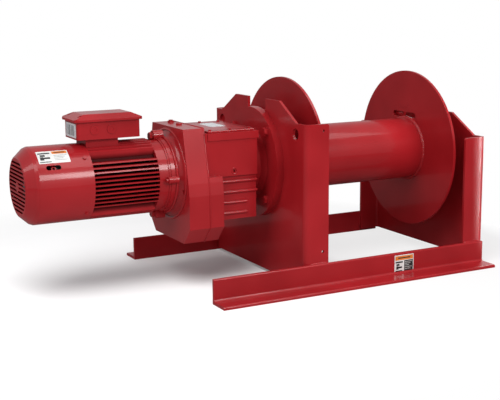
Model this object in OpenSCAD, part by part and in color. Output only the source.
// Electric drum winch: a brake motor and an in-line two-stage gear unit, flange-mounted on the drive
// end plate, turn a flanged rope drum that runs between two bent end plates on a pair of base angles.
// X runs along the drum axis from the motor to the tail bearing, Z is up. The origin lies on the floor
// below the middle of the whole machine. Stations are X positions counted from the motor end of the
// base angles, and at(), along() and around() move them into this frame.

/* [Base frame] */
// Leg of the base angles
angle_leg = 80; // [64:1:92]
// Thickness of the base angles
angle_t = 10; // [6:0.5:12]
// Inner fillet of the base angles
angle_fillet_r = 8; // [3:0.5:10]
// Width over the upright legs of the two angles
frame_w = 664; // [640:1:760]

/* [End plates] */
// Thickness of both end plates
plate_t = 9.5; // [8:0.5:13]
// Gap between the floor and the lower edge of the plates
plate_lift = 10; // [4:0.5:20]
// Outside radius of the bent plate edges
bend_r = 19; // [15:0.5:28]
// Depth of the bent plate edges
plate_edge = 88; // [60:1:110]
// Corner radius at the top of the bent edges
edge_corner_r = 8; // [3:1:15]
// Outer face of the drive end plate from the motor end of the base
drive_plate_x = 330; // [320:1:400]
// Height of the drive end plate at its shoulders
drive_shoulder_h = 531; // [500:1:545]
// Height of the drive end plate at its two peaks
drive_top_h = 594; // [575:1:640]
// Width over the feet of the drive plate's slopes
drive_slope_w = 525; // [460:1:560]
// Width over the peaks of the drive plate
drive_top_w = 308; // [260:1:380]
// Width of the notch between the peaks
notch_w = 124; // [100:1:160]
// Depth of the notch between the peaks
notch_depth = 37; // [20:1:50]
// Lifting holes in the drive end plate
lift_hole_d = 38; // [25:1:45]
// Lifting hole centre below the shoulder
lift_hole_drop = 35; // [30:1:60]
// Lifting hole centre in from the outside of the plate
lift_hole_in = 61; // [50:1:80]
// Guard screw holes in the bent edges of the drive end plate
guard_hole_d = 9; // [6:0.5:14]
// Guard hole centre in from the free edge
guard_hole_in = 21; // [12:1:30]
// Height of the lower guard hole
guard_hole_low_h = 118; // [100:1:200]
// Upper guard hole below the shoulder
guard_hole_drop = 21; // [15:1:150]
// Height of the tail end plate at its shoulders
tail_shoulder_h = 446; // [430:1:470]
// Height of the tail end plate at its top
tail_top_h = 515; // [490:1:560]
// Width over the feet of the tail plate's slopes
tail_slope_w = 525; // [460:1:560]
// Width over the top of the tail plate
tail_top_w = 282; // [240:1:380]

/* [Drum] */
// Height of the drum axis
drum_axis_h = 377.5; // [365:0.5:395]
// Outside diameter of the barrel
barrel_d = 219; // [200:1:240]
// Wall of the barrel
barrel_wall = 9.5; // [6:0.5:16]
// Diameter of the two drum flanges
drum_flange_d = 563; // [500:1:600]
// Thickness of the drum flanges
drum_flange_t = 9.5; // [8:0.5:12.5]
// Gap between each end plate and the drum flange next to it
drum_gap = 87.5; // [75:0.5:110]
// Clear width between the drum flanges
rope_space = 513.5; // [420:0.5:700]
// Length of the rope slot in the tail side flange
rope_slot_l = 134; // [90:1:160]
// Width of the rope slot
rope_slot_w = 19; // [12:1:24]
// Offset of the rope slot's middle from the drum's centre plane
rope_slot_y = 11; // [0:1:30]
// Thickness of the discs that carry the drum on its shafts
hub_disc_t = 12.5; // [8:0.5:20]
// Outside diameter of the hub on the gear unit's shaft
hub_d = 120; // [105:1:150]
// Diameter of the stub shaft at the tail end
tail_shaft_d = 60; // [50:1:70]
// Distance between the two discs on the stub shaft
stub_span = 75; // [50:1:120]

/* [Gear unit casing] */
// Diameter of the output flange
gear_flange_d = 374; // [350:1:400]
// Thickness of the output flange
gear_flange_t = 25; // [18:1:32]
// Diameter of the spigot that centres the output flange in the plate
spigot_d = 250; // [220:1:270]
// Depth of the spigot
spigot_len = 5; // [3:0.5:7]
// Bolt circle of the output flange
flange_pcd = 320; // [300:1:330]
// Thread size of the output flange bolts
flange_bolt_d = 16; // [12:1:20]
// Length of the neck between the casing and the output flange
neck_len = 47; // [40:1:70]
// Diameter of the neck
neck_d = 200; // [180:1:230]
// Length of the main casing along the axis
case_len = 186; // [180:1:230]
// Width of the main casing
case_w = 272; // [256:1:300]
// Top of the main casing above the output axis
case_top = 124; // [118:1:140]
// Underside of the main casing below the output axis
case_bottom = 163; // [160:1:175]
// Length of the sump that runs on under the main casing
sump_len = 49; // [40:1:90]
// Wall of the casing
case_wall = 12; // [9:0.5:15]
// Depth of the recess between the side ribs
rib_recess = 9; // [4:0.5:12]
// Height of one side rib
rib_h = 9; // [5:0.5:14]
// Spacing of the side ribs
rib_pitch = 34.5; // [28:0.5:38]
// Length of the input cover along the axis
cover_len = 72; // [68:1:100]
// Top of the input cover above the output axis
cover_top = 141; // [130:1:155]
// Width of the input cover at its top
cover_top_w = 246; // [220:1:280]
// Greatest width of the input cover
cover_w = 330; // [300:1:350]
// Underside of the input cover below the output axis
cover_bottom = 229; // [222:1:245]
// Width of the input cover at its underside
cover_bottom_w = 234; // [180:1:260]
// Depth of the bevels round the underside
cover_bevel = 53; // [40:1:80]
// Length of the round adapter between the input cover and the motor
adapter_len = 40; // [32:1:50]
// Diameter of the adapter where it meets the cover
adapter_d = 290; // [280:1:300]

/* [Gears] */
// Module of the first gear pair
module_1 = 2.5; // [2.25:0.05:2.6]
// Teeth of the input pinion
teeth_1 = 13; // [13:1:17]
// Teeth of the intermediate gear
teeth_2 = 67; // [60:1:68]
// Module of the second gear pair
module_2 = 3.5; // [3.3:0.05:3.6]
// Teeth of the pinion on the countershaft
teeth_3 = 14; // [14:1:17]
// Teeth of the output gear
teeth_4 = 52; // [48:1:53]
// Tooth height above the pitch circle, in modules
addendum_k = 0.8; // [0.7:0.01:0.82]
// Play between meshed teeth along the pitch circle
backlash = 0.3; // [0.2:0.05:0.5]
// Width of the first gear pair
gear_w_1 = 26; // [18:1:32]
// Width of the second gear pair
gear_w_2 = 50; // [36:1:60]
// Diameter of the output shaft in the drum
out_shaft_d = 70; // [60:1:76]
// Length of the output shaft past the output flange
out_shaft_len = 140; // [125:1:160]
// Width of the key in the drum hub
key_w = 20; // [16:1:22]
// Height of the key in the drum hub
key_h = 12; // [10:1:14]

/* [Motor] */
// Diameter over the cooling fins
fin_d = 243; // [232:1:252]
// Width over the fins at the flattened sides
fin_side_w = 234; // [226:1:250]
// Diameter of the motor frame below the fins
frame_d = 196; // [190:1:206]
// Spacing of the cooling fins
fin_pitch = 13.4; // [12:0.1:16]
// Thickness of a cooling fin
fin_t = 4.2; // [2.5:0.1:6]
// Number of fins on each side of the middle fin
fin_half_count = 5; // [3:1:5]
// Length of the finned frame
motor_frame_len = 222; // [205:1:300]
// Length of the drive end shield
shield_len = 38; // [36:1:60]
// Diameter of the drive end shield's flange
shield_flange_d = 240; // [226:1:246]
// Circle of the four flange bolts
motor_pcd = 254; // [248:1:260]
// Thickness of the rear end shield
rear_shield_t = 24; // [18:1:28]
// Outside diameter of the stator core
stator_d = 176; // [160:1:180]
// Air gap between rotor and stator
air_gap = 0.6; // [0.4:0.1:1]
// Length of the stator core
core_len = 120; // [90:1:135]
// Diameter of the rotor core
rotor_d = 108; // [90:1:116]
// Diameter of the motor shaft
motor_shaft_d = 40; // [35:1:45]

/* [Brake and fan] */
// Diameter of the brake magnet body
brake_d = 200; // [180:1:206]
// Diameter of the friction disc
brake_disc_d = 160; // [140:1:166]
// Thickness of the friction disc
brake_disc_t = 12; // [7:0.5:14]
// Thickness of the armature plate
armature_t = 12; // [7:0.5:14]
// Travel of the armature plate
brake_gap = 0.6; // [0.3:0.1:1.2]
// Length of the brake magnet body
magnet_len = 52; // [36:1:58]
// Thickness of the hand release yoke
yoke_t = 8; // [5:0.5:11]
// Tilt of the hand release yoke at full pull
yoke_tilt = 4; // [2:0.5:5]
// Diameter of the fan
fan_d = 196; // [170:1:204]
// Width of the fan
fan_w = 38; // [26:1:44]
// Number of fan blades
fan_blades = 8; // [6:1:12]
// Length of the fan cowl
cowl_len = 209; // [200:1:230]
// Sheet thickness of the fan cowl
cowl_t = 2.5; // [1.5:0.1:3.5]
// Diameter of the flat face of the cowl
cowl_face_d = 188; // [180:1:200]
// Length of the bevel behind the cowl's face
cowl_bevel = 30; // [20:1:36]
// Spacing of the grille slots
grille_pitch = 12.4; // [11:0.1:15]
// Height of a grille slot
grille_slot = 7; // [4:0.5:8]
// Number of grille slots above the middle one, and as many below
grille_half_count = 6; // [4:1:6]
// Diameter of the solid middle of the grille
grille_hub_d = 30; // [24:1:50]
// Angle of the hand release slot above the front
release_angle = 33.5; // [20:0.5:50]
// Length of the hand release slot
release_slot_l = 46; // [34:1:54]
// Width of the hand release slot
release_slot_w = 15; // [13.5:0.5:20]

/* [Terminal box] */
// Length of the terminal box
box_len = 206; // [180:1:230]
// Width of the terminal box
box_w = 124; // [110:1:150]
// Height of the terminal box below its lid
box_h = 54; // [48:1:70]
// Wall of the terminal box
box_wall = 5; // [3.5:0.5:7]
// Outside radius of the upright box corners
box_corner_r = 8; // [6:1:14]
// Distance from the motor frame's start to the box's start, towards the fan
box_back = 24; // [10:1:40]
// Height of the box's underside above the motor axis
box_floor_h = 137; // [130:1:150]
// Length of the neck below the terminal box
box_neck_len = 106; // [80:1:130]
// Width of the neck below the terminal box
box_neck_w = 90; // [70:1:104]
// Thickness of the gasket under the lid
gasket_t = 1.5; // [1:0.5:3]
// Overhang of the lid round the box
lid_lap = 9; // [5:0.5:14]
// Height of the lid's upright rim
lid_rim_h = 7; // [5:0.5:12]
// Height of the lid over its rim
lid_dome_h = 15; // [10:0.5:30]
// Inset of the lid's top along the motor
lid_slope_x = 34; // [20:1:50]
// Inset of the lid's top across the motor
lid_slope_y = 22; // [12:1:40]
// Diameter of the cable entry plugs
plug_d = 28; // [20:1:32]

/* [Hidden] */
$fn = 72;

// Fits and small clearances
run_fit = 0.05;        // radial clearance of a running fit
slide_gap = 0.1;       // gap between faces that slide or part
bolt_play = 1;         // how much wider a bolt hole is than its bolt
overlap = 1;           // how far a cutter reaches past the face that it cuts

// Paint and metal colours
paint = [0.62, 0.12, 0.14];
steel = [0.72, 0.73, 0.75];
dark_steel = [0.32, 0.33, 0.35];
iron = [0.42, 0.42, 0.44];
copper = [0.72, 0.42, 0.22];
rubber = [0.10, 0.10, 0.11];
nylon = [0.16, 0.16, 0.17];
brass = [0.78, 0.62, 0.30];

// Frame
plate_w = frame_w - 2 * angle_t;
guard_hole_pitch = drive_shoulder_h - guard_hole_drop - guard_hole_low_h;
shaft_hole_d = tail_shaft_d + 12;

// Gear train: the countershaft lies below both axes
centre_1 = module_1 * (teeth_1 + teeth_2) / 2;
centre_2 = module_2 * (teeth_3 + teeth_4) / 2;
out_z = drum_axis_h;
counter_z = out_z - centre_2;
motor_z = counter_z + centre_1;

// Stations along the axis, from the output flange back to the fan
neck_x = drive_plate_x - gear_flange_t;
case_end_x = neck_x - neck_len;
seam_x = case_end_x - case_len;
cover_x = seam_x - cover_len;
adapter_x = cover_x - adapter_len;
frame_end_x = adapter_x - shield_len;
frame_start_x = frame_end_x - motor_frame_len;
rear_shield_x = frame_start_x - rear_shield_t;
disc_x = rear_shield_x - slide_gap - brake_disc_t;
armature_x = disc_x - slide_gap - armature_t;
magnet_x = armature_x - brake_gap - slide_gap - magnet_len;
yoke_play = 8;
yoke_pivot_r = 70;
yoke_reach = 112;
yoke_x = magnet_x - yoke_play - yoke_t;
cowl_open_x = frame_start_x + 7;
cowl_end_x = cowl_open_x - cowl_len;
yoke_swing = (yoke_reach + yoke_pivot_r) * sin(yoke_tilt);
fan_x = yoke_x - yoke_swing - 8 - fan_w;
shaft_end_x = fan_x - 4;

// Stations of the drum. The angles end at the inner face of the tail end plate.
flange_1_x = drive_plate_x + plate_t + drum_gap;
space_x = flange_1_x + drum_flange_t;
flange_2_x = space_x + rope_space;
drum_end_x = flange_2_x + drum_flange_t;
base_len = drum_end_x + drum_gap;
tail_plate_x = base_len + plate_t;
barrel_bore_d = barrel_d - 2 * barrel_wall;
out_shaft_x = drive_plate_x + out_shaft_len;
hub_x = flange_1_x - 28;

// Bearings: [bore, outside diameter, width]
brg_out_web = [55, 100, 20];
brg_out_neck = [80, 125, 22];
brg_counter = [30, 72, 18];
brg_motor = [motor_shaft_d, 80, 18];
brg_tail = [tail_shaft_d, 110, 30];
brg_rear = [motor_shaft_d, 80, 16];

// Casing
web_t = brg_out_web[2] + 2;
end_wall_t = brg_counter[2] + 6;
bay_x = seam_x + web_t;
bay_end_x = case_end_x - end_wall_t;
mesh_1_x = cover_x + 13;
mesh_2_x = bay_x + 16;
neck_brg_x = case_end_x + 6;
seal_x = neck_brg_x + brg_out_neck[2] + 6;
seal_t = 12;
seal_d = 110;
rim_h = 24;
cover_plate_t = 6;
top_hole_l = bay_end_x - bay_x - 16;
top_hole_w = 150;

// Tail bearing unit on the outer face of the tail end plate
unit_w = 190;
unit_base_t = 20;
unit_boss_d = 140;
unit_len = 44;
unit_bolt_pitch = 148;
unit_bolt_d = 16;
tail_end_x = tail_plate_x + unit_len + 4;

// The floor point below the middle of the machine is the origin
base_x0 = -(cowl_end_x + tail_end_x) / 2;

// Motor
frame_bore_d = stator_d;
core_x = frame_start_x + (motor_frame_len - core_len) / 2 + 8;
winding_len = 30;
shield_brg_x = adapter_x - 12 - brg_motor[2];
box_x = frame_start_x - box_back;
box_neck_x = frame_start_x + 7;
box_z = motor_z + box_floor_h;
lid_z = box_z + box_h + gasket_t;
box_end_x = box_x + box_len;
cowl_mouth_d = fin_d;
rear_shield_d = cowl_mouth_d - 2 * cowl_t - 8;

// Moves a piece to a station and a height
module at(x, y = 0, z = 0) {
    translate([base_x0 + x, y, z]) children();
}

// Lays a flat outline in the YZ plane at a station, so that its depth runs along +X
module along(x, z = 0) {
    at(x, 0, z) rotate([90, 0, 90]) children();
}

// Copies a piece to polar places round the X axis, angle 0 pointing to the rear
module around(x, z, radius, angles) {
    for (a = angles) along(x, z) rotate(a) translate([radius, 0, 0]) children();
}

module ring(outer_d, inner_d, h) {
    difference() {
        cylinder(d = outer_d, h = h);
        translate([0, 0, -overlap]) cylinder(d = inner_d, h = h + 2 * overlap);
    }
}

module round_rect(w, h, r) {
    square([w - 2 * r, h], center = true);
    square([w, h - 2 * r], center = true);
    for (sx = [-1, 1], sy = [-1, 1])
        translate([sx * (w / 2 - r), sy * (h / 2 - r)]) circle(r = r);
}

// Hexagon screw with its head on the -Z side of the seat at z = 0 and its shank along +Z
module hex_screw(d, len, washer = true) {
    head_h = 0.65 * d;
    washer_t = washer ? 0.16 * d : 0;
    translate([0, 0, -washer_t - head_h]) cylinder(d = 1.8 * d, h = head_h, $fn = 6);
    if (washer) translate([0, 0, -washer_t]) cylinder(d = 2 * d, h = washer_t);
    translate([0, 0, -washer_t]) cylinder(d = d, h = len + washer_t);
}

// Hexagon nut with washer, seated at z = 0 and pointing along +Z
module hex_nut(d) {
    washer_t = 0.16 * d;
    difference() {
        union() {
            cylinder(d = 2 * d, h = washer_t);
            translate([0, 0, washer_t]) cylinder(d = 1.8 * d, h = 0.8 * d, $fn = 6);
        }
        translate([0, 0, -overlap]) cylinder(d = d, h = 2 * d);
    }
}

// Socket head screw, seated at z = 0 with its head on the -Z side
module socket_screw(d, len) {
    difference() {
        translate([0, 0, -d]) cylinder(d = 1.5 * d, h = d);
        translate([0, 0, -d - overlap]) cylinder(d = 0.9 * d, h = 0.5 * d + overlap, $fn = 6);
    }
    cylinder(d = d, h = len);
}

// Involute gear outline. Half the tooth angle at radius r follows from the involute of the pressure
// angle, and below the base circle the flank runs radially down to the root.
pressure_angle = 20;
dedendum_k = 1;
flank_steps = 3;

function involute(a) = tan(a) * 180 / PI - a;

function half_tooth(r, base_r, pitch_half) =
    pitch_half + involute(pressure_angle) - (r > base_r ? involute(acos(base_r / r)) : 0);

module gear_outline(m, teeth) {
    pitch_r = m * teeth / 2;
    base_r = pitch_r * cos(pressure_angle);
    tip_r = pitch_r + addendum_k * m;
    root_r = pitch_r - dedendum_k * m;
    start_r = max(base_r, root_r);
    pitch_half = 90 / teeth - backlash / 4 / pitch_r * 180 / PI;
    flank = [for (i = [0 : flank_steps - 1]) start_r + (tip_r - start_r) * i / (flank_steps - 1)];
    rise = concat(root_r < base_r ? [root_r] : [], flank);
    last = len(rise) - 1;
    polygon([
        for (t = [0 : teeth - 1], side = [-1, 1], i = [0 : last])
            let (r = side < 0 ? rise[i] : rise[last - i],
                 a = t * 360 / teeth + side * half_tooth(r, base_r, pitch_half))
            [r * cos(a), r * sin(a)]
    ]);
}

module spur_gear(m, teeth, width, bore_d) {
    difference() {
        linear_extrude(width) gear_outline(m, teeth);
        translate([0, 0, -overlap]) cylinder(d = bore_d, h = width + 2 * overlap);
    }
}

// Bearing rings share one middle diameter, where the two rings meet with a running clearance
function brg_mid_d(b) = (b[0] + b[1]) / 2;

module outer_ring(b) {
    ring(b[1], brg_mid_d(b) + 2 * run_fit, b[2]);
}

module inner_ring(b) {
    ring(brg_mid_d(b), b[0], b[2]);
}

// Base angles

module base_angle_outline() {
    toe_r = angle_t / 2;
    heel = frame_w / 2 - angle_t;
    difference() {
        union() {
            translate([heel, 0]) square([angle_t, angle_leg - toe_r]);
            translate([heel, 0]) square([angle_leg - toe_r, angle_t]);
            translate([heel, 0]) square([angle_t + angle_fillet_r, angle_t + angle_fillet_r]);
            translate([heel, angle_leg - angle_t]) square([toe_r, angle_t]);
            translate([heel + angle_leg - angle_t, 0]) square([angle_t, toe_r]);
            translate([heel + toe_r, angle_leg - toe_r]) circle(r = toe_r);
            translate([heel + angle_leg - toe_r, toe_r]) circle(r = toe_r);
        }
        translate([heel + angle_t + angle_fillet_r, angle_t + angle_fillet_r]) circle(r = angle_fillet_r);
    }
}

module rear_base_angle() {
    color(paint) along(0) linear_extrude(base_len) base_angle_outline();
}

module front_base_angle() {
    color(paint) along(0) linear_extrude(base_len) mirror([1, 0]) base_angle_outline();
}

// End plates. The plan of a plate is its flat face with two bent edges. The face lies at x = 0 and
// the edges reach to +X.

module bent_plan() {
    flat_w = plate_w - 2 * bend_r;
    translate([0, -flat_w / 2]) square([plate_t, flat_w]);
    for (s = [-1, 1]) mirror([0, s > 0 ? 0 : 1]) translate([bend_r, flat_w / 2]) {
        intersection() {
            difference() {
                circle(r = bend_r);
                circle(r = bend_r - plate_t);
            }
            translate([-bend_r, 0]) square(bend_r);
        }
        translate([0, bend_r - plate_t]) square([plate_edge - bend_r, plate_t]);
    }
}

module edge_corner_cut(h) {
    translate([plate_edge - edge_corner_r, -plate_w / 2 - overlap, h - edge_corner_r])
        rotate([-90, 0, 0]) linear_extrude(plate_w + 2 * overlap) difference() {
            translate([0, -edge_corner_r - overlap]) square(edge_corner_r + overlap);
            circle(r = edge_corner_r);
        }
}

module bent_plate(shoulder_h, top_h, slope_w, top_w) {
    difference() {
        translate([0, 0, plate_lift]) linear_extrude(shoulder_h - plate_lift) bent_plan();
        edge_corner_cut(shoulder_h);
    }
    rotate([90, 0, 90]) linear_extrude(plate_t) polygon([
        [-slope_w / 2, shoulder_h - overlap], [-slope_w / 2, shoulder_h], [-top_w / 2, top_h],
        [top_w / 2, top_h], [slope_w / 2, shoulder_h], [slope_w / 2, shoulder_h - overlap]
    ]);
}

module drive_end_plate() {
    guard_x = plate_edge - guard_hole_in;
    color(paint) at(drive_plate_x) difference() {
        bent_plate(drive_shoulder_h, drive_top_h, drive_slope_w, drive_top_w);
        translate([-overlap, -notch_w / 2, drive_top_h - notch_depth])
            cube([plate_t + 2 * overlap, notch_w, notch_depth + overlap]);
        for (s = [-1, 1])
            translate([-overlap, s * (plate_w / 2 - lift_hole_in), drive_shoulder_h - lift_hole_drop])
                rotate([0, 90, 0]) cylinder(d = lift_hole_d, h = plate_t + 2 * overlap);
        translate([-overlap, 0, out_z]) rotate([0, 90, 0])
            cylinder(d = spigot_d + 2 * run_fit, h = plate_t + 2 * overlap);
        for (a = [45 : 90 : 315]) translate([-overlap, 0, out_z]) rotate([a, 0, 0])
            translate([0, flange_pcd / 2, 0]) rotate([0, 90, 0])
                cylinder(d = flange_bolt_d + 2 * bolt_play, h = plate_t + 2 * overlap);
        for (s = [-1, 1], z = [guard_hole_low_h, guard_hole_low_h + guard_hole_pitch])
            translate([guard_x, s * (plate_w / 2 - plate_t / 2), z]) rotate([90, 0, 0])
                cylinder(d = guard_hole_d, h = plate_t + 2 * overlap, center = true);
    }
}

module tail_end_plate() {
    color(paint) at(tail_plate_x) mirror([1, 0, 0]) difference() {
        bent_plate(tail_shoulder_h, tail_top_h, tail_slope_w, tail_top_w);
        translate([-overlap, 0, out_z]) rotate([0, 90, 0])
            cylinder(d = shaft_hole_d, h = plate_t + 2 * overlap);
        for (sy = [-1, 1], sz = [-1, 1])
            translate([-overlap, sy * unit_bolt_pitch / 2, out_z + sz * unit_bolt_pitch / 2])
                rotate([0, 90, 0]) cylinder(d = unit_bolt_d + 2 * bolt_play, h = plate_t + 2 * overlap);
    }
}

// Tail bearing unit

module tail_bearing_housing() {
    bore_x = unit_len - brg_tail[2];
    color(paint) along(tail_plate_x, out_z) difference() {
        union() {
            linear_extrude(unit_base_t) round_rect(unit_w, unit_w, 22);
            cylinder(d = unit_boss_d, h = unit_len - 6);
            translate([0, 0, unit_len - 6]) cylinder(d1 = unit_boss_d, d2 = unit_boss_d - 12, h = 6);
        }
        translate([0, 0, -overlap]) cylinder(d = shaft_hole_d, h = unit_len);
        translate([0, 0, bore_x]) cylinder(d = brg_tail[1], h = brg_tail[2] + overlap);
        for (sy = [-1, 1], sz = [-1, 1])
            translate([sy * unit_bolt_pitch / 2, sz * unit_bolt_pitch / 2, -overlap])
                cylinder(d = unit_bolt_d + 2 * bolt_play, h = unit_base_t + 2 * overlap);
    }
}

ball_d = 15;
ball_count = 10;

module tail_bearing_outer_ring() {
    mid = brg_mid_d(brg_tail);
    color(steel) along(tail_plate_x + unit_len - brg_tail[2], out_z) difference() {
        ring(brg_tail[1], mid + ball_d * 0.7, brg_tail[2]);
        translate([0, 0, brg_tail[2] / 2]) rotate_extrude()
            translate([mid / 2, 0]) circle(d = ball_d + 0.6);
    }
}

module tail_bearing_insert() {
    mid = brg_mid_d(brg_tail);
    color(steel) {
        along(tail_plate_x + unit_len - brg_tail[2], out_z) ring(mid - ball_d * 0.7, brg_tail[0], brg_tail[2]);
        around(tail_plate_x + unit_len - brg_tail[2] / 2, out_z, mid / 2,
            [for (i = [0 : ball_count - 1]) i * 360 / ball_count]) sphere(d = ball_d, $fn = 24);
    }
}

module tail_bearing_bolts() {
    grip = unit_base_t + plate_t;
    color(dark_steel) for (sy = [-1, 1], sz = [-1, 1])
        at(tail_plate_x + unit_base_t, sy * unit_bolt_pitch / 2, out_z + sz * unit_bolt_pitch / 2) {
            rotate([0, -90, 0]) hex_screw(unit_bolt_d, grip + 18);
            translate([-grip, 0, 0]) rotate([0, -90, 0]) hex_nut(unit_bolt_d);
        }
}

// Drum

module drum_barrel() {
    color(paint) along(flange_1_x, out_z) ring(barrel_d, barrel_bore_d, drum_end_x - flange_1_x);
}

module drive_side_flange() {
    color(paint) along(flange_1_x, out_z) ring(drum_flange_d, barrel_d, drum_flange_t);
}

module tail_side_flange() {
    slot_z = barrel_d / 2 + 3 + rope_slot_w / 2;
    color(paint) along(flange_2_x, out_z) difference() {
        ring(drum_flange_d, barrel_d, drum_flange_t);
        translate([rope_slot_y, slot_z, -overlap]) linear_extrude(drum_flange_t + 2 * overlap)
            round_rect(rope_slot_l, rope_slot_w, rope_slot_w / 2 - 0.5);
        for (s = [-1, 1]) translate([keeper_y + s * keeper_pitch / 2, keeper_z, -overlap])
            cylinder(d = keeper_bolt_d, h = drum_flange_t + 2 * overlap);
    }
}

keeper_l = 90;
keeper_h = 34;
keeper_t = 10;
keeper_pitch = 54;
keeper_bolt_d = 10;
keeper_y = rope_slot_y;
keeper_z = barrel_d / 2 + rope_slot_w + 3 + keeper_h / 2 + 4;

module rope_keeper() {
    color(dark_steel) along(drum_end_x, out_z) translate([keeper_y, keeper_z, 0]) difference() {
        linear_extrude(keeper_t) round_rect(keeper_l, keeper_h, 6);
        for (s = [-1, 1]) translate([s * keeper_pitch / 2, 0, -overlap])
            cylinder(d = keeper_bolt_d + bolt_play, h = keeper_t + 2 * overlap);
        translate([0, -keeper_h / 2, 0]) rotate([0, 90, 0])
            cylinder(d = 7, h = keeper_l + 2 * overlap, center = true);
    }
}

// The keeper's screws come from outside into threads in the flange and end flush on the rope's side
module rope_keeper_bolts() {
    color(dark_steel) for (s = [-1, 1])
        along(drum_end_x + keeper_t, out_z) translate([keeper_y + s * keeper_pitch / 2, keeper_z, 0])
            rotate([180, 0, 0]) hex_screw(keeper_bolt_d, keeper_t + drum_flange_t, washer = false);
}

module key_slot(len, depth_below, depth_above) {
    translate([-key_w / 2, -depth_below, 0]) cube([key_w, depth_below + depth_above, len]);
}

key_len = 90;
key_x = out_shaft_x - key_len - 6;
key_sink = 7.5;

module shaft_key() {
    color(steel) along(key_x, out_z) translate([0, out_shaft_d / 2, 0])
        key_slot(key_len, key_sink, key_h - key_sink);
}

module drive_hub() {
    color(iron) along(hub_x, out_z) difference() {
        union() {
            cylinder(d = hub_d, h = out_shaft_x + 4 - hub_x);
            translate([0, 0, flange_1_x - hub_x]) cylinder(d = barrel_bore_d, h = hub_disc_t);
        }
        translate([0, 0, -overlap]) cylinder(d = out_shaft_d, h = out_shaft_x + 8 - hub_x);
        translate([0, out_shaft_d / 2 - key_sink, -overlap]) translate([-key_w / 2, 0, 0])
            cube([key_w, key_h, out_shaft_x + 8 - hub_x]);
    }
}

module tail_hub() {
    color(iron) for (x = [drum_end_x - hub_disc_t - stub_span, drum_end_x - hub_disc_t])
        along(x, out_z) ring(barrel_bore_d, tail_shaft_d, hub_disc_t);
}

module tail_shaft() {
    start = drum_end_x - hub_disc_t - stub_span - 10;
    len = tail_end_x - start;
    color(steel) along(start, out_z) {
        cylinder(d = tail_shaft_d, h = len - 3);
        translate([0, 0, len - 3]) cylinder(d1 = tail_shaft_d, d2 = tail_shaft_d - 6, h = 3);
    }
}

// Gear unit casing

// Outline of the input cover, seen along the axis: a flat top, sides that widen to the waist, and a
// bevelled underside.
function cover_points(inset, bevel = true) =
    let (top = cover_top - inset, waist = -30, hip = -(cover_bottom - cover_bevel),
         low = bevel ? -cover_bottom + inset : -cover_bottom - overlap,
         wt = cover_top_w / 2 - inset, w = cover_w / 2 - inset,
         wb = bevel ? cover_bottom_w / 2 - inset / 2 : w)
    [[-wt, top], [wt, top], [w - 5, waist], [w, waist - 40], [w, hip], [wb, low], [-wb, low],
     [-w, hip], [-w, waist - 40], [-w + 5, waist]];

module adapter_outline() {
    step = shield_flange_d / 2 + 2;
    polygon(concat(
        [[0, 0], [step, 0]],
        [for (i = [0 : 6]) let (a = i * 15)
            [step + (adapter_d / 2 - step) * (1 - cos(a)), adapter_rim + (adapter_len - adapter_rim) * sin(a)]],
        [[adapter_d / 2, adapter_len + 1], [0, adapter_len + 1]]
    ));
}

module input_cover() {
    color(paint) difference() {
        union() {
            along(cover_x, out_z) linear_extrude(cover_len) polygon(cover_points(0));
            along(adapter_x, motor_z) rotate_extrude() adapter_outline();
            around(adapter_x, motor_z, motor_pcd / 2, ear_angles) cylinder(r = ear_r, h = adapter_rim + 2);
            around(adapter_x, motor_z, motor_pcd / 2, lug_angles) cylinder(r = lug_r, h = adapter_rim + 2);
        }
        along(cover_x + 10, out_z) linear_extrude(cover_len)
            intersection() {
                polygon(cover_points(case_wall));
                circle(r = cover_bottom - case_wall);
            }
        along(adapter_x - overlap, motor_z) cylinder(d = adapter_bore_d, h = adapter_len - 12);
        along(adapter_x - overlap, motor_z) cylinder(d = seal_in_d, h = adapter_len + 12 + 2 * overlap);
        around(adapter_x - overlap, motor_z, motor_pcd / 2, ear_angles) cylinder(d = ear_bolt_d, h = ear_t + overlap);
        around(adapter_x - overlap, motor_z, motor_pcd / 2, lug_angles) cylinder(d = lug_bolt_d, h = ear_t + overlap);
        at(cover_x - 4, -adapter_d / 2 + 8, motor_z - 43) cube([9, 24, 15], center = true);
        for (p = oil_top_places) at(cover_x + p[0], p[1], out_z + cover_top - 12)
            cylinder(d = oil_plug_d, h = 12 + overlap);
    }
}

// The motor is held by two large ears above and below and two small lugs at the sides
ear_angles = [90, 270];
ear_r = 18;
ear_bolt_d = 14;
ear_t = 14;
lug_angles = [0, 180];
lug_r = 11;
lug_bolt_d = 8;
adapter_rim = 18;
adapter_bore_d = 190;
seal_in_d = 62;
oil_plug_d = 16;
// Places of the breather and the filler plug on the input cover, from its start
oil_top_places = [[52, 88], [48, 12]];

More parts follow.
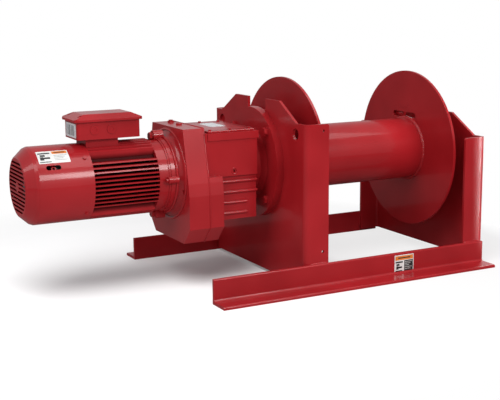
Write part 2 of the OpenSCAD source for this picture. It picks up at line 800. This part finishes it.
// The main casing is wide above, recessed between ribs below, and its sump runs on under the cover's
// side of it with a bevelled end.
module gear_housing() {
    color(paint) difference() {
        union() {
            along(seam_x, out_z) linear_extrude(case_len) translate([-case_w / 2, -case_bottom])
                square([case_w, case_bottom + case_top]);
            sump();
            along(seam_x + 8, out_z + case_top - rim_h) linear_extrude(case_len + 4 - 8)
                translate([-case_w / 2 - 4, 0]) square([case_w + 8, rim_h]);
            along(case_end_x - overlap, out_z) cylinder(d = neck_d, h = neck_len + 2 * overlap);
            along(neck_x - 14, out_z) cylinder(d1 = neck_d, d2 = neck_d + 40, h = 14 + overlap);
            along(neck_x, out_z) cylinder(d = gear_flange_d, h = gear_flange_t);
            along(drive_plate_x - overlap, out_z) cylinder(d = spigot_d, h = spigot_len + overlap);
            for (a = [90, 270], s = [-1, 1]) neck_rib(a, s * 40);
        }
        side_recesses();
        along(bay_x, out_z) linear_extrude(bay_end_x - bay_x) translate([-case_w / 2 + wall_in, -case_bottom + case_wall])
            square([case_w - 2 * wall_in, case_bottom + case_top - 2 * case_wall]);
        along(bay_x + 8, 0) translate([-top_hole_w / 2, out_z, 0])
            cube([top_hole_w, case_top + overlap, top_hole_l]);
        bearing_seats();
        along(case_end_x - end_wall_t - overlap, out_z) cylinder(d = out_bore_d, h = 60);
        along(neck_brg_x + brg_out_neck[2] - overlap, out_z)
            cylinder(d = seal_d, h = drive_plate_x + spigot_len + 2 * overlap - neck_brg_x - brg_out_neck[2]);
        around(neck_x - overlap, out_z, flange_pcd / 2, [45 : 90 : 315])
            cylinder(d = flange_bolt_d + 2 * bolt_play, h = gear_flange_t + 2 * overlap);
        for (s = [-1, 1]) at(level_plug_x, s * case_w / 2, out_z - 3) rotate([s * 90, 0, 0])
            cylinder(d = level_plug_d, h = 12);
        at(seam_x + 28, 0, out_z - cover_bottom - overlap) cylinder(d = oil_plug_d, h = 14 + overlap);
    }
}

wall_in = case_wall + rib_recess;
out_bore_d = 96;
level_plug_d = 20;
level_plug_in = 84;
level_plug_x = case_end_x - level_plug_in;

// The sump carries the cover's outline on for a while below the output axis
module sump() {
    along(seam_x, out_z) linear_extrude(sump_len) intersection() {
        polygon(cover_points(0));
        translate([-cover_w / 2, -cover_bottom]) square([cover_w, cover_bottom - sump_drop]);
    }
}

sump_drop = 14;

module neck_rib(angle, offset) {
    along(case_end_x - overlap, out_z) rotate(angle) translate([neck_d / 2 - 20, offset - 5, 0])
        cube([38, 10, neck_len + 2 * overlap]);
}

// Each side is recessed below the oil level plug. Four rounded ribs stand in the recess, flush with
// the casing, the upper two to its end and the lower two shorter.
module side_recesses() {
    x = seam_x + sump_len;
    top = rib_1_z + rib_h / 2 + rib_head;
    run = case_end_x - x;
    for (s = [-1, 1]) difference() {
        at(x, s > 0 ? case_w / 2 - rib_recess : -case_w / 2 - overlap, out_z - case_bottom - overlap)
            cube([run + overlap, rib_recess + overlap, case_bottom + overlap + top]);
        for (i = [0 : 3])
            at(x - overlap, s * (case_w / 2 - rib_recess), out_z + rib_1_z - i * rib_pitch) rotate([0, 90, 0])
                rotate(90) rib(i < 2 ? run + 2 * overlap : run - rib_short + overlap);
    }
}

module rib(len) {
    translate([-rib_recess + rib_h / 2, -rib_h / 2, 0]) cube([2 * rib_recess - rib_h, rib_h, len]);
    for (s = [-1, 1]) translate([s * (rib_recess - rib_h / 2), 0, 0]) cylinder(d = rib_h, h = len);
}

rib_1_z = -37.5;
rib_head = 14;
rib_short = 35;

module bearing_seats() {
    along(seam_x - overlap, out_z) cylinder(d = brg_out_web[1], h = brg_out_web[2] + overlap);
    along(seam_x - overlap, counter_z) cylinder(d = brg_counter[1], h = brg_counter[2] + overlap);
    along(seam_x - overlap, out_z) cylinder(d = brg_out_web[1] - 14, h = web_t + 2 * overlap);
    along(seam_x - overlap, counter_z) cylinder(d = brg_counter[1] - 14, h = web_t + 2 * overlap);
    along(bay_end_x - overlap, counter_z) cylinder(d = brg_counter[1], h = brg_counter[2] + overlap);
    along(neck_brg_x, out_z) cylinder(d = brg_out_neck[1], h = brg_out_neck[2]);
}

module inspection_cover() {
    w = case_w - 14;
    l = case_len - 20;
    color(paint) difference() {
        along(seam_x + 14, out_z + case_top) translate([-w / 2, 0, 0]) cube([w, cover_plate_t, l]);
        for (p = cover_screw_places) at(seam_x + 14 + p[0] * l, p[1] * w, out_z + case_top - overlap)
            cylinder(d = cover_screw_d + bolt_play, h = cover_plate_t + 2 * overlap);
    }
}

// Places of the inspection cover's screws, as shares of its length and width
cover_screw_d = 6;
cover_screw_places = [for (u = [0.08, 0.5, 0.92], v = [-0.44, 0.44]) [u, v]];

module inspection_cover_screws() {
    w = case_w - 14;
    l = case_len - 20;
    color(dark_steel) for (p = cover_screw_places)
        at(seam_x + 14 + p[0] * l, p[1] * w, out_z + case_top + cover_plate_t)
            rotate([180, 0, 0]) hex_screw(cover_screw_d, cover_plate_t, washer = false);
}

module output_flange_bolts() {
    grip = gear_flange_t + plate_t;
    color(dark_steel) around(neck_x, out_z, flange_pcd / 2, [45 : 90 : 315]) {
        hex_screw(flange_bolt_d, grip + 18);
        translate([0, 0, grip]) hex_nut(flange_bolt_d);
    }
}

module oil_plugs() {
    color(brass) {
        at(cover_x + oil_top_places[0][0], oil_top_places[0][1], out_z + cover_top) {
            translate([0, 0, -12]) cylinder(d = oil_plug_d, h = 12);
            cylinder(d = 24, h = 5, $fn = 6);
            translate([0, 0, 5]) cylinder(d = 14, h = 3);
        }
        at(cover_x + oil_top_places[1][0], oil_top_places[1][1], out_z + cover_top) {
            translate([0, 0, -12]) cylinder(d = oil_plug_d, h = 12);
            cylinder(d = 22, h = 5, $fn = 6);
        }
        for (s = [-1, 1]) at(level_plug_x, s * case_w / 2, out_z - 3) rotate([s * 90, 0, 0])
            difference() {
                translate([0, 0, 1]) cylinder(d = level_plug_d, h = 11);
                cylinder(d = level_plug_d / 2, h = 7, $fn = 6);
            }
        at(seam_x + 28, 0, out_z - cover_bottom) {
            cylinder(d = oil_plug_d, h = 14);
            translate([0, 0, -5]) cylinder(d = 22, h = 5, $fn = 6);
        }
    }
}

module shaft_seals() {
    color(rubber) {
        along(seal_x, out_z) ring(seal_d, out_journal_d + 2 * run_fit, seal_t);
        along(cover_x - 6, motor_z) ring(seal_in_d, motor_shaft_d + 2 * run_fit, 10);
    }
}

out_journal_d = brg_out_neck[0];

module gearbox_bearing_outers() {
    color(steel) {
        along(seam_x, out_z) outer_ring(brg_out_web);
        along(seam_x, counter_z) outer_ring(brg_counter);
        along(bay_end_x, counter_z) outer_ring(brg_counter);
        along(neck_brg_x, out_z) outer_ring(brg_out_neck);
    }
}

// Gear train

module output_shaft() {
    journal_end = seal_x + seal_t + 4;
    color(steel) difference() {
        union() {
            along(seam_x, out_z) cylinder(d = brg_out_web[0], h = mesh_2_x - 6 - seam_x);
            along(mesh_2_x - 6, out_z) cylinder(d = gear_bore_d, h = neck_brg_x - mesh_2_x + 6);
            along(neck_brg_x, out_z) cylinder(d = out_journal_d, h = journal_end - neck_brg_x);
            along(journal_end - overlap, out_z) cylinder(d = out_shaft_d, h = out_shaft_x - journal_end + overlap);
        }
        along(key_x, out_z) translate([0, out_shaft_d / 2, 0]) key_slot(key_len, key_sink, key_sink);
    }
}

gear_bore_d = 84;

module output_gear() {
    color(steel) along(mesh_2_x, out_z) rotate(-90 + 180 / teeth_4)
        spur_gear(module_2, teeth_4, gear_w_2, gear_bore_d);
}

module output_bearing_inners() {
    color(steel) {
        along(seam_x, out_z) inner_ring(brg_out_web);
        along(neck_brg_x, out_z) inner_ring(brg_out_neck);
    }
}

counter_gear_bore_d = 32;

counter_shoulder_d = 42;

module countershaft() {
    pinion_w = gear_w_2 + 4;
    color(steel) {
        along(mesh_1_x - 2, counter_z) cylinder(d = counter_gear_bore_d, h = gear_w_1 + 4);
        along(mesh_1_x + gear_w_1 + 2, counter_z)
            cylinder(d = counter_shoulder_d, h = seam_x - mesh_1_x - gear_w_1 - 2);
        along(seam_x, counter_z) cylinder(d = brg_counter[0], h = brg_counter[2]);
        along(seam_x + brg_counter[2], counter_z) cylinder(d = 38, h = mesh_2_x - 2 - seam_x - brg_counter[2]);
        along(mesh_2_x - 2, counter_z) rotate(90) linear_extrude(pinion_w) gear_outline(module_2, teeth_3);
        along(mesh_2_x - 2 + pinion_w, counter_z) cylinder(d = 38, h = bay_end_x - mesh_2_x + 2 - pinion_w);
        along(bay_end_x, counter_z) cylinder(d = brg_counter[0], h = brg_counter[2]);
    }
}

module intermediate_gear() {
    color(steel) along(mesh_1_x, counter_z) rotate(90 + 180 / teeth_2)
        spur_gear(module_1, teeth_2, gear_w_1, counter_gear_bore_d);
}

module counter_bearing_inners() {
    color(steel) {
        along(seam_x, counter_z) inner_ring(brg_counter);
        along(bay_end_x, counter_z) inner_ring(brg_counter);
    }
}

pinion_stem_d = 16;
pinion_stem_len = 30;

module input_pinion() {
    color(steel) {
        along(mesh_1_x - 2, motor_z) rotate(-90) linear_extrude(gear_w_1 + 4) gear_outline(module_1, teeth_1);
        along(mesh_1_x - 2 - pinion_stem_len, motor_z) cylinder(d = pinion_stem_d, h = pinion_stem_len);
    }
}

// Motor

// Parallel fins: flat ribs to both sides and upright ribs above and below, all cut to one round
// outline that is a little flattened at the sides.
module motor_frame() {
    reach = fin_d / 2;
    half_band = fin_half_count * fin_pitch + fin_t / 2;
    color(paint) difference() {
        union() {
            along(frame_start_x, motor_z) cylinder(d = frame_d, h = motor_frame_len);
            along(cowl_open_x, motor_z) intersection() {
                cylinder(d = fin_d, h = frame_end_x - cowl_open_x);
                translate([-fin_side_w / 2, -reach, 0]) cube([fin_side_w, 2 * reach, frame_end_x - cowl_open_x]);
                for (i = [-fin_half_count : fin_half_count], side = [0, 90])
                    rotate(side) translate([-reach, i * fin_pitch - fin_t / 2, 0])
                        cube([2 * reach, fin_t, frame_end_x - cowl_open_x]);
            }
            along(cowl_open_x, motor_z) intersection() {
                cylinder(d = fin_d, h = frame_end_x - cowl_open_x);
                for (a = [45 : 90 : 315]) rotate(a) translate([half_band * 1.05, -8, 0])
                    cube([30, 16, frame_end_x - cowl_open_x]);
            }
            along(box_neck_x, motor_z) translate([-box_neck_w / 2, 0, 0])
                cube([box_neck_w, box_floor_h, box_neck_len]);
        }
        along(frame_start_x - overlap, motor_z) cylinder(d = frame_bore_d, h = motor_frame_len + 2 * overlap);
        along(box_neck_x + box_wall, motor_z) translate([-box_neck_w / 2 + box_wall, 0, 0])
            cube([box_neck_w - 2 * box_wall, box_floor_h + overlap, box_neck_len - 2 * box_wall]);
    }
}

module drive_end_shield() {
    seat_d = brg_motor[1];
    color(paint) difference() {
        union() {
            along(frame_end_x, motor_z) cylinder(d = shield_flange_d - 6, h = shield_len);
            along(adapter_x - shield_rim, motor_z) cylinder(d = shield_flange_d, h = shield_rim);
            around(adapter_x - ear_t, motor_z, motor_pcd / 2, ear_angles) cylinder(r = ear_r, h = ear_t);
            around(adapter_x - ear_t, motor_z, motor_pcd / 2, lug_angles) cylinder(r = lug_r, h = ear_t);
            along(adapter_x - overlap, motor_z) cylinder(d = adapter_bore_d - 2 * run_fit, h = 5 + overlap);
        }
        along(frame_end_x - overlap, motor_z) cylinder(d = frame_bore_d - 16, h = shield_len - 32);
        along(frame_end_x - overlap, motor_z) cylinder(d = seat_d, h = shield_brg_x + brg_motor[2] + overlap - frame_end_x);
        along(frame_end_x - overlap, motor_z) cylinder(d = motor_shaft_d + 8, h = shield_len + 5 + 3 * overlap);
        around(adapter_x - ear_t - overlap, motor_z, motor_pcd / 2, ear_angles)
            cylinder(d = ear_bolt_d + bolt_play, h = ear_t + 2 * overlap);
        around(frame_end_x - overlap, motor_z, motor_pcd / 2, ear_angles)
            cylinder(d = 2 * ear_bolt_d + 3, h = shield_len - ear_t + overlap);
        around(adapter_x - ear_t - overlap, motor_z, motor_pcd / 2, lug_angles)
            cylinder(d = lug_bolt_d + bolt_play, h = ear_t + 2 * overlap);
        around(frame_end_x - overlap, motor_z, motor_pcd / 2, lug_angles)
            cylinder(d = 2 * lug_bolt_d + 2, h = shield_len - ear_t + overlap);
    }
}

shield_rim = 6;

module motor_flange_bolts() {
    color(dark_steel) {
        around(adapter_x - ear_t, motor_z, motor_pcd / 2, ear_angles) hex_screw(ear_bolt_d, 2 * ear_t);
        around(adapter_x - ear_t, motor_z, motor_pcd / 2, lug_angles) socket_screw(lug_bolt_d, 2 * ear_t);
    }
}

module rear_end_shield() {
    color(iron) difference() {
        union() {
            along(rear_shield_x, motor_z) cylinder(d = frame_bore_d + 26, h = rear_shield_t);
            around(rear_shield_x, motor_z, 0, [45 : 90 : 315])
                translate([frame_bore_d / 2, -9, 0]) cube([rear_shield_d / 2 - frame_bore_d / 2, 18, rear_shield_t]);
        }
        along(rear_shield_x + rear_shield_t - brg_rear[2], motor_z) cylinder(d = brg_rear[1], h = brg_rear[2] + overlap);
        along(rear_shield_x - overlap, motor_z) cylinder(d = motor_shaft_d + 8, h = rear_shield_t + 2 * overlap);
        around(rear_shield_x - overlap, motor_z, brake_bolt_r, brake_bolt_angles)
            cylinder(d = brake_bolt_d, h = 14 + overlap);
    }
}

module stator_core() {
    color(iron) along(core_x, motor_z) difference() {
        cylinder(d = stator_d, h = core_len);
        translate([0, 0, -overlap]) cylinder(d = rotor_d + 2 * air_gap, h = core_len + 2 * overlap);
        for (a = [0 : 30 : 330]) rotate(a) translate([rotor_d / 2 + 6, -3, -overlap])
            cube([14, 6, core_len + 2 * overlap]);
    }
}

module stator_windings() {
    inner = rotor_d + 12;
    outer = stator_d - 14;
    color(copper) for (x = [core_x - winding_len, core_x + core_len])
        along(x, motor_z) translate([0, 0, winding_len / 2]) rotate_extrude()
            translate([(inner + outer) / 4, 0]) round_rect((outer - inner) / 2, winding_len, 6);
}

module motor_bearing_outers() {
    color(steel) {
        along(shield_brg_x, motor_z) outer_ring(brg_motor);
        along(rear_shield_x + rear_shield_t - brg_rear[2], motor_z) outer_ring(brg_rear);
    }
}

module motor_bearing_inners() {
    color(steel) {
        along(shield_brg_x, motor_z) inner_ring(brg_motor);
        along(rear_shield_x + rear_shield_t - brg_rear[2], motor_z) inner_ring(brg_rear);
    }
}

rotor_bore_d = 50;

module rotor_shaft() {
    front_x = mesh_1_x - 2;
    color(steel) difference() {
        union() {
            along(shaft_end_x, motor_z) cylinder(d = fan_bore_d, h = fan_w + 6);
            along(shaft_end_x + fan_w + 5, motor_z) cylinder(d = 34, h = disc_x - shaft_end_x - fan_w - 5);
            along(disc_x - overlap, motor_z)
                cylinder(d = motor_shaft_d, h = core_x - disc_x + 2 * overlap);
            along(core_x, motor_z) cylinder(d = rotor_bore_d, h = core_len);
            along(core_x + core_len - overlap, motor_z) cylinder(d = motor_shaft_d, h = front_x - core_x - core_len + overlap);
        }
        along(front_x - pinion_stem_len, motor_z) cylinder(d = pinion_stem_d, h = pinion_stem_len + overlap);
    }
}

module rotor_core() {
    color(iron) along(core_x, motor_z) {
        ring(rotor_d, rotor_bore_d, core_len);
        for (z = [-8, core_len]) translate([0, 0, z]) ring(rotor_d - 6, rotor_d - 36, 8);
    }
}

fan_bore_d = 28;

module cooling_fan() {
    color(nylon) along(fan_x, motor_z) difference() {
        union() {
            cylinder(d = 56, h = fan_w);
            translate([0, 0, fan_w - 4]) cylinder(d = fan_d - 10, h = 4);
            for (i = [0 : fan_blades - 1]) rotate(i * 360 / fan_blades)
                translate([20, -1.6, 0]) cube([fan_d / 2 - 20, 3.2, fan_w - 2]);
        }
        translate([0, 0, -overlap]) cylinder(d = fan_bore_d, h = fan_w + 2 * overlap);
    }
}

// Brake

brake_bolt_d = 8;
brake_bolt_r = brake_d / 2 - 9;
brake_bolt_angles = [90, 210, 330];
coil_in_d = 84;
coil_out_d = 136;
coil_len = 24;
spring_d = 10;
spring_r = 78;
spring_pocket = 22;

module brake_disc() {
    color(dark_steel) along(disc_x, motor_z) ring(brake_disc_d, motor_shaft_d, brake_disc_t);
}

module brake_armature() {
    color(steel) along(armature_x, motor_z) difference() {
        cylinder(d = brake_d, h = armature_t);
        translate([0, 0, -overlap]) cylinder(d = motor_shaft_d + 10, h = armature_t + 2 * overlap);
        for (a = brake_bolt_angles) rotate(a) translate([brake_bolt_r, 0, -overlap])
            cylinder(d = brake_bolt_d + 2 * bolt_play, h = armature_t + 2 * overlap);
    }
}

module brake_magnet_body() {
    color(iron) along(magnet_x, motor_z) difference() {
        cylinder(d = brake_d, h = magnet_len);
        translate([0, 0, -overlap]) cylinder(d = motor_shaft_d + 10, h = magnet_len + 2 * overlap);
        translate([0, 0, magnet_len - coil_len]) ring(coil_out_d, coil_in_d, coil_len + overlap);
        for (a = [0 : 60 : 300]) rotate(a) translate([spring_r, 0, magnet_len - spring_pocket])
            cylinder(d = spring_d + 1, h = spring_pocket + overlap);
        for (a = brake_bolt_angles) rotate(a) translate([brake_bolt_r, 0, -overlap])
            cylinder(d = brake_bolt_d, h = magnet_len + 2 * overlap);
    }
}

module brake_coil() {
    color(copper) along(magnet_x + magnet_len - coil_len, motor_z)
        ring(coil_out_d - 0.6, coil_in_d + 0.6, coil_len - 1);
}

module brake_springs() {
    color(steel) around(magnet_x + magnet_len - spring_pocket, motor_z, spring_r, [0 : 60 : 300])
        ring(spring_d, spring_d - 4, spring_pocket - slide_gap);
}

module brake_bolts() {
    color(dark_steel) around(magnet_x, motor_z, brake_bolt_r, brake_bolt_angles)
        hex_screw(brake_bolt_d, rear_shield_x + 14 - magnet_x, washer = false);
}

// Hand release yoke: a flat bar behind the magnet body. It rocks on a round pivot bar at its far end
// and ends in a threaded boss that shows in the cowl's slot. Local +X points to the slot.
yoke_turn = 180 - release_angle;
yoke_bar_w = 44;
yoke_bar_reach = 98;
yoke_boss_r = 8;
yoke_seat = 0.3;
pivot_bar_d = yoke_play + 0.4;
pivot_bar_x = magnet_x - yoke_seat - pivot_bar_d / 2;

module release_yoke() {
    color(paint) along(yoke_x, motor_z) rotate(yoke_turn) difference() {
        union() {
            translate([-yoke_pivot_r - 10, -yoke_bar_w / 2, 0])
                cube([yoke_pivot_r + 10 + yoke_bar_reach, yoke_bar_w, yoke_t]);
            cylinder(r = 46, h = yoke_t);
            translate([-yoke_pivot_r, 0, pivot_bar_x - yoke_x]) rotate([90, 0, 0])
                cylinder(d = pivot_bar_d, h = 40, center = true);
            translate([yoke_bar_reach - 10, 0, yoke_t / 2]) rotate([0, 90, 0])
                cylinder(r = yoke_boss_r, h = yoke_reach - yoke_bar_reach + 10);
        }
        translate([0, 0, -overlap]) cylinder(d = 60, h = yoke_t + 2 * overlap);
        translate([yoke_reach - 16, 0, yoke_t / 2]) rotate([0, 90, 0]) cylinder(d = 8, h = 20);
    }
}

// Fan cowl: a turned shell with a bevelled nose, horizontal grille slots round a solid middle and the
// hand release slot

module cowl_outline(inset) {
    r = fin_d / 2 - inset;
    face_r = cowl_face_d / 2 - inset * 0.4;
    polygon([
        [0, inset], [face_r - 5, inset], [face_r, inset + 2], [r - 4, cowl_bevel - 2], [r, cowl_bevel + 8],
        [r, cowl_len + (inset > 0 ? overlap : 0)], [0, cowl_len + (inset > 0 ? overlap : 0)]
    ]);
}

module fan_cowl() {
    slot_mid = release_slot_x - cowl_end_x;
    color(paint) along(cowl_end_x, motor_z) difference() {
        rotate_extrude() cowl_outline(0);
        rotate_extrude() cowl_outline(cowl_t);
        difference() {
            intersection() {
                translate([0, 0, -overlap]) cylinder(d = cowl_face_d - 12, h = cowl_t + 2 * overlap);
                for (i = [-grille_half_count : grille_half_count])
                    translate([-cowl_face_d / 2, i * grille_pitch - grille_slot / 2, -overlap])
                        cube([cowl_face_d, grille_slot, cowl_t + 2 * overlap]);
            }
            translate([0, 0, -2 * overlap]) cylinder(d = grille_hub_d, h = cowl_t + 4 * overlap);
        }
        rotate(yoke_turn) translate([fin_d / 2 - 10, 0, slot_mid]) rotate([0, 90, 0])
            linear_extrude(20) round_rect(release_slot_l, release_slot_w, release_slot_w / 2 - 1);
        for (a = [45 : 90 : 315]) rotate(a) translate([fin_d / 2 - 10, 0, cowl_screw_x - cowl_end_x])
            rotate([0, 90, 0]) cylinder(d = 7, h = 20);
    }
}

cowl_screw_x = rear_shield_x + rear_shield_t / 2;
release_slot_x = yoke_x + yoke_t / 2 - 2;

module cowl_screws() {
    color(dark_steel) for (a = [45 : 90 : 315]) along(cowl_screw_x, motor_z) rotate(a) {
        translate([rear_shield_d / 2, 0, 0]) rotate([0, 90, 0])
            cylinder(d = 6, h = fin_d / 2 - rear_shield_d / 2);
        translate([fin_d / 2, 0, 0]) rotate([0, 90, 0]) cylinder(d = 13, h = 4, $fn = 6);
    }
}

// Terminal box

module box_outline(grow) {
    translate([box_len / 2, 0])
        round_rect(box_len + 2 * grow, box_w + 2 * grow, box_corner_r + grow);
}

module terminal_box() {
    screw_z = 18;
    color(paint) difference() {
        at(box_x, 0, box_z) linear_extrude(box_h) box_outline(0);
        at(box_x, 0, box_z + box_wall) linear_extrude(box_h) difference() {
            box_outline(-box_wall);
            for (p = lid_screw_places) translate(p) circle(r = lid_screw_in - box_wall + 1);
        }
        at(box_neck_x + box_wall, -box_neck_w / 2 + box_wall, box_z - overlap)
            cube([box_neck_len - 2 * box_wall, box_neck_w - 2 * box_wall, box_wall + 2 * overlap]);
        for (p = lid_screw_places) at(box_x + p[0], p[1], box_z + box_h - screw_z)
            cylinder(d = 6, h = screw_z + overlap);
        for (p = plug_places) at(box_x + p, -box_w / 2, box_z + plug_z) rotate([90, 0, 0])
            cylinder(d = plug_thread_d, h = 3 * box_wall, center = true);
        at(box_end_x, 0, box_z + plug_z) rotate([0, 90, 0])
            cylinder(d = plug_thread_d, h = 3 * box_wall, center = true);
    }
}

// Lid screws in the corners, and the cable entries along the front, from the box's start
lid_screw_in = 13;
lid_screw_places = [
    for (x = [lid_screw_in, box_len - lid_screw_in], s = [-1, 1]) [x, s * (box_w / 2 - lid_screw_in)]
];
plug_places = [55, 110];
plug_z = box_h * 0.55;
plug_thread_d = plug_d - 8;

module cable_plugs() {
    color(paint) {
        for (p = plug_places) at(box_x + p, -box_w / 2, box_z + plug_z) rotate([90, 0, 0]) plug();
        at(box_end_x, 0, box_z + plug_z) rotate([0, 90, 0]) plug();
    }
}

module plug() {
    difference() {
        union() {
            translate([0, 0, -box_wall - 2]) cylinder(d = plug_thread_d, h = box_wall + 2);
            cylinder(d = plug_d, h = 2);
        }
        translate([0, 0, 0.8]) cylinder(d = plug_d - 12, h = 2);
    }
}

module terminal_box_gasket() {
    color(rubber) at(box_x, 0, box_z + box_h) linear_extrude(gasket_t) difference() {
        box_outline(0);
        box_outline(-box_wall);
    }
}

// The lid is a rim with four slopes up to a flat top, hollow below
module lid_solid(grow, rise) {
    l = box_len / 2 + grow;
    w = box_w / 2 + grow;
    h = lid_rim_h + lid_dome_h;
    intersection() {
        at(box_x, 0, lid_z - (grow < 0 ? overlap : 0)) linear_extrude(h + overlap) box_outline(grow);
        at(box_x + box_len / 2, 0, lid_z - overlap) rotate([90, 0, 0])
            linear_extrude(2 * w + 2, center = true) polygon([
                [-l, 0], [l, 0], [l, rise[0] + overlap], [l - lid_slope_x, rise[1] + overlap],
                [-l + lid_slope_x, rise[1] + overlap], [-l, rise[0] + overlap]
            ]);
        at(box_x - grow - 1, 0, lid_z - overlap) rotate([90, 0, 90])
            linear_extrude(2 * l + 2) polygon([
                [-w, 0], [w, 0], [w, rise[0] + overlap], [w - lid_slope_y, rise[1] + overlap],
                [-w + lid_slope_y, rise[1] + overlap], [-w, rise[0] + overlap]
            ]);
    }
}

module terminal_box_lid() {
    color(paint) difference() {
        lid_solid(lid_lap, [lid_rim_h, lid_rim_h + lid_dome_h]);
        difference() {
            lid_solid(-box_wall - 1, [lid_rim_h - 4, lid_rim_h + lid_dome_h - 5]);
            for (p = lid_screw_places) at(box_x + p[0], p[1], lid_z - 2 * overlap) cylinder(r = 8, h = 40);
        }
        for (p = lid_screw_places) at(box_x + p[0], p[1], lid_z - overlap)
            cylinder(d = lid_screw_d + bolt_play, h = lid_rim_h + lid_dome_h + 2 * overlap);
        for (p = lid_screw_places) at(box_x + p[0], p[1], lid_z + lid_seat_h)
            cylinder(d = 2 * lid_screw_d + 2, h = lid_rim_h + lid_dome_h);
    }
}

lid_seat_h = 8;
lid_screw_d = 6;

module lid_screws() {
    color(dark_steel) for (p = lid_screw_places)
        at(box_x + p[0], p[1], lid_z + lid_seat_h) rotate([180, 0, 0])
            hex_screw(lid_screw_d, lid_seat_h + gasket_t + 16, washer = false);
}

module terminal_block() {
    l = 80;
    w = 34;
    color(nylon) at(box_x + box_len - l - 40, -w / 2, box_z + box_wall) difference() {
        union() {
            cube([l, w, 14]);
            for (i = [0 : 2], j = [0, 1]) translate([16 + i * 24, 9 + j * 16, 14]) cylinder(d = 5, h = 12);
        }
        for (i = [0 : 1]) translate([27 + i * 24, -overlap, 10]) cube([2, w + 2 * overlap, 4 + overlap]);
    }
}

front_base_angle();
rear_base_angle();
drive_end_plate();
tail_end_plate();
tail_bearing_housing();
tail_bearing_outer_ring();
tail_bearing_bolts();
gear_housing();
input_cover();
inspection_cover();
inspection_cover_screws();
output_flange_bolts();
oil_plugs();
shaft_seals();
gearbox_bearing_outers();
motor_frame();
drive_end_shield();
motor_flange_bolts();
rear_end_shield();
stator_core();
stator_windings();
motor_bearing_outers();
brake_magnet_body();
brake_coil();
brake_springs();
brake_bolts();
fan_cowl();
cowl_screws();
terminal_box();
terminal_box_gasket();
terminal_box_lid();
lid_screws();
terminal_block();
cable_plugs();
drum_barrel();
drive_side_flange();
tail_side_flange();
drive_hub();
tail_hub();
tail_shaft();
rope_keeper();
rope_keeper_bolts();
output_shaft();
shaft_key();
output_gear();
output_bearing_inners();
tail_bearing_insert();
countershaft();
intermediate_gear();
counter_bearing_inners();
rotor_shaft();
input_pinion();
rotor_core();
motor_bearing_inners();
cooling_fan();
brake_disc();
brake_armature();
release_yoke();
